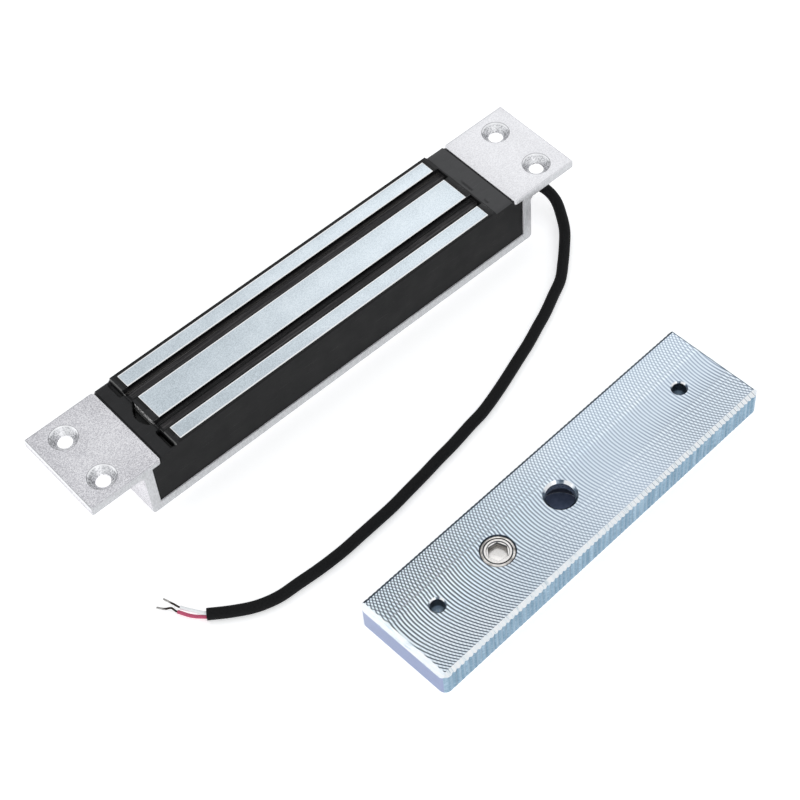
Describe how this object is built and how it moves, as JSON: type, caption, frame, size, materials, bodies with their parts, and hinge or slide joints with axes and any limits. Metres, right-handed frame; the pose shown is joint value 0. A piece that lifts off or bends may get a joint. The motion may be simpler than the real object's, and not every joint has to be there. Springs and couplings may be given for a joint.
{
  "type": "magnetic door lock",
  "caption": "Flush-mount electromagnetic door lock: potted E-core magnet in a flanged aluminium channel with a short bare-ended lead, and its separate steel armature plate",
  "frame": {"origin": "centre of the channel's back face, on the plane that the lock and the armature lie on", "axes": "+X along the lock towards the end that the lead leaves, +Y across its width away from the armature, +Z out of the pole faces"},
  "size_m": [0.1869, 0.1337, 0.0223],
  "materials": {
    "blasted_aluminium": "fine blasted, satin",
    "electrical_steel": "ground pole faces",
    "black_paint": "satin black",
    "plated_fastener": "zinc plated",
    "pressboard": "matt",
    "nylon_black": "satin",
    "enamelled_copper": "glossy enamel",
    "film_tape": "glossy",
    "epoxy_black": "satin, scratched",
    "board_green": "satin",
    "disc_blue": "gloss",
    "diode_black": "gloss",
    "pvc_black": "satin",
    "pvc_red": "satin",
    "pvc_white": "satin",
    "tinned_copper": "bare strands",
    "plated_steel": "zinc plated, milled",
    "nickel_plated": "nickel plated",
    "spring_steel": "bright wire",
    "brass_pin": "turned"
  },
  "bodies": {
    "lock": {"mounting_bracket": "blasted_aluminium", "core_stack": "electrical_steel", "near_end_plate": "black_paint", "far_end_plate": "black_paint", "core_rivets": "plated_fastener", "core_fixing_screws": "plated_fastener", "slot_liners": "pressboard", "coil_former": "nylon_black", "coil_winding": "enamelled_copper", "coil_tape": "film_tape", "coil_leads": "enamelled_copper", "potting_resin": "epoxy_black", "circuit_board": "board_green", "surge_varistor": "disc_blue", "flyback_diode": "diode_black", "cable_grommet": "nylon_black", "cable_jacket": "pvc_black", "core_tails": "tinned_copper", "red_core": "pvc_red", "white_core": "pvc_white", "red_strands": "tinned_copper", "white_strands": "tinned_copper"},
    "armature": {"armature_plate": "plated_steel", "ejector_housing": "nickel_plated", "ejector_spring": "spring_steel"},
    "ejector": {"ejector_pin": "brass_pin"}
  },
  "joints": [
    {"name": "armature_lift", "type": "slide", "parent": "lock", "child": "armature", "axis": [0, 0, 1], "range_m": [0, 0.04]},
    {"name": "ejector_slide", "type": "slide", "parent": "armature", "child": "ejector", "axis": [0, 0, -1], "range_m": [0, 0.0012], "stiffness_N_per_m": 500, "springref_m": 0.003, "deforming": ["ejector_spring"]}
  ]
}
